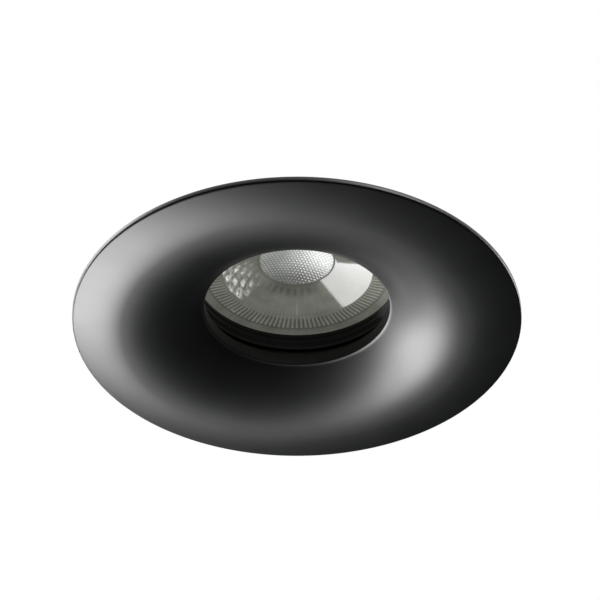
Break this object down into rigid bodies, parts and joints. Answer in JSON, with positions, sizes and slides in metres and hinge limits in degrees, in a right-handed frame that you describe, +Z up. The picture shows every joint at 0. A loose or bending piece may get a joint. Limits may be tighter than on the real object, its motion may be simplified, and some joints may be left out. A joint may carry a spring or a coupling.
{
  "type": "soffit downlight",
  "caption": "Round recessed soffit downlight with a curved black trim, a low-profile lamp, two sprung clips and a lidded terminal box.",
  "frame": {"origin": "centre of the flange's seat, in the plane of the soffit", "axes": "+Z goes up into the soffit along the lamp's axis, the face looks along -Z; the spring clips lie on +X and -X, the terminal box on +Y"},
  "size_m": [0.11, 0.11, 0.0546],
  "materials": {
    "black_metal": "satin black powder coat",
    "cup_metal": "black coat, plain",
    "gasket_foam": "closed-cell foam",
    "seal_rubber": "glossy moulded silicone",
    "steel": "zinc plated",
    "spring_steel": "drawn wire",
    "lens": "clear moulded optic",
    "sink_metal": "satin die casting",
    "board": "white solder mask",
    "phosphor": "phosphor",
    "chip_plastic": "moulded epoxy",
    "thermal_pad": "soft filled silicone",
    "white_plastic": "fine moulded grain",
    "box_plastic": "fine moulded grain",
    "lead_sleeve": "silicone sleeve",
    "brass": "machined",
    "foot_rubber": "matt moulded rubber"
  },
  "bodies": {
    "fitting": {"trim_ring": "black_metal", "soffit_gasket": "gasket_foam", "lamp_cup": "cup_metal", "cup_screws": "steel", "lamp_seal": "seal_rubber", "lamp_circlip": "spring_steel", "lens": "lens", "lamp_heat_sink": "sink_metal", "led_board": "board", "led_chip": "phosphor", "driver_chips": "chip_plastic", "thermal_pad": "thermal_pad", "board_screws": "steel", "lamp_cap": "white_plastic", "lamp_leads": "lead_sleeve", "clip_bracket_right": "steel", "clip_bracket_left": "steel", "clip_rivets_right": "steel", "clip_rivets_left": "steel", "clip_pin_right": "steel", "clip_pin_left": "steel", "box_bracket": "steel", "bracket_screws": "steel", "terminal_box": "box_plastic", "box_screws": "steel", "terminal_block": "white_plastic", "terminal_clamps": "brass", "terminal_screws": "steel", "cable_grommet": "foot_rubber", "cable_clamp": "white_plastic", "clamp_screws": "steel", "lid_pin": "steel"},
    "right_clip": {"clip_arm_right": "steel", "clip_foot_right": "foot_rubber", "clip_spring_right": "spring_steel"},
    "left_clip": {"clip_arm_left": "steel", "clip_foot_left": "foot_rubber", "clip_spring_left": "spring_steel"},
    "lid": {"terminal_lid": "box_plastic", "lid_screw": "steel"}
  },
  "joints": [
    {"name": "right_clip_hinge", "type": "hinge", "parent": "fitting", "child": "right_clip", "pos_m": [0.03325, 0, 0.021], "axis": [0, -1, 0], "range_deg": [0, 123], "stiffness_Nm_per_rad": 0.06, "springref_deg": -68.75, "deforming": ["clip_spring_right"]},
    {"name": "left_clip_hinge", "type": "hinge", "parent": "fitting", "child": "left_clip", "pos_m": [-0.03325, 0, 0.021], "axis": [0, 1, 0], "range_deg": [0, 123], "stiffness_Nm_per_rad": 0.06, "springref_deg": -68.75, "deforming": ["clip_spring_left"]},
    {"name": "lid_hinge", "type": "hinge", "parent": "fitting", "child": "lid", "pos_m": [0, 0.0319, 0.0476], "axis": [-1, 0, 0], "range_deg": [0, 115]}
  ]
}
